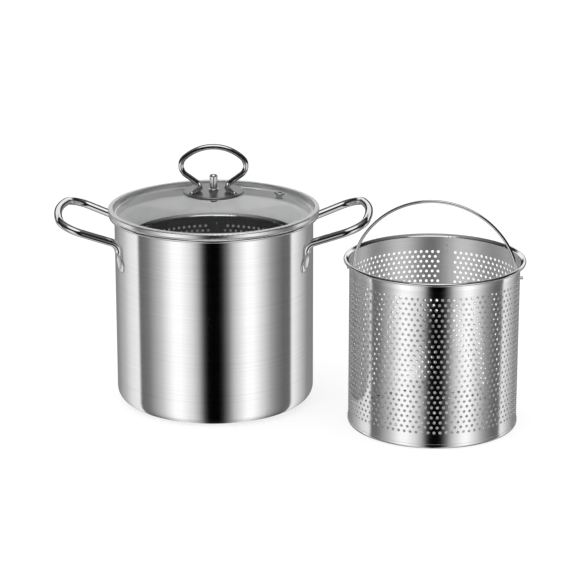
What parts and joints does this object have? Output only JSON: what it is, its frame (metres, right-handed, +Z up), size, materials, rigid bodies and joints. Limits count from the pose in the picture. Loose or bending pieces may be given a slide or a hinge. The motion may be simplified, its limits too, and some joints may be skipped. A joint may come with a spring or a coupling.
{
  "type": "deep fryer pot",
  "caption": "Deep steel pot for frying, with rod handles, a vented glass lid with a wire loop, and perforated baskets with hinged bails, one kind inside and the same beside it.",
  "frame": {"origin": "middle of the pot's underside", "axes": "+Z up out of the pot, +X towards the right handle, -Y towards the viewer"},
  "size_m": [0.467, 0.2712, 0.2637],
  "materials": {
    "pot_steel": "brushed round the pot",
    "rod_steel": "polished",
    "wire_steel": "polished",
    "band_steel": "polished and rolled",
    "plate_steel": "satin",
    "basket_steel": "bright rolled sheet",
    "lid_glass": "clear tempered",
    "silicone": "matt, pale"
  },
  "bodies": {
    "pot": {"pot_body": "pot_steel", "handle_left": "rod_steel", "handle_right": "rod_steel"},
    "basket": {"basket_wall": "basket_steel", "basket_bottom": "basket_steel", "basket_rim": "band_steel"},
    "bail": {"basket_bail": "wire_steel"},
    "lid": {"lid_glass": "lid_glass", "lid_band": "band_steel", "vent_eyelet": "rod_steel", "handle_plate": "plate_steel", "lid_loop": "rod_steel", "cap_nut": "rod_steel", "lid_screw": "rod_steel", "lid_washer": "band_steel", "lower_gasket": "silicone", "upper_gasket": "silicone"},
    "spare_basket": {"spare_basket_wall": "basket_steel", "spare_basket_bottom": "basket_steel", "spare_basket_rim": "band_steel"},
    "spare_bail": {"spare_basket_bail": "wire_steel"}
  },
  "joints": [
    {"name": "basket_lift", "type": "slide", "parent": "pot", "child": "basket", "axis": [0, 0, 1], "range_m": [0, 0.2]},
    {"name": "lid_lift", "type": "slide", "parent": "basket", "child": "lid", "axis": [0, 0, 1], "range_m": [0, 0.15]},
    {"name": "basket_bail_hinge", "type": "hinge", "parent": "basket", "child": "bail", "pos_m": [0, 0, 0.1537], "axis": [1, 0, 0], "range_deg": [-120, 120]},
    {"name": "spare_basket_carry", "type": "slide", "parent": "pot", "child": "spare_basket", "axis": [0.5, -0.5, 0.7071], "range_m": [0, 0.2]},
    {"name": "spare_bail_hinge", "type": "hinge", "parent": "spare_basket", "child": "spare_bail", "pos_m": [0.218, -0.076, 0.1526], "axis": [0.9781, -0.2079, 0], "range_deg": [-170, 170]}
  ]
}
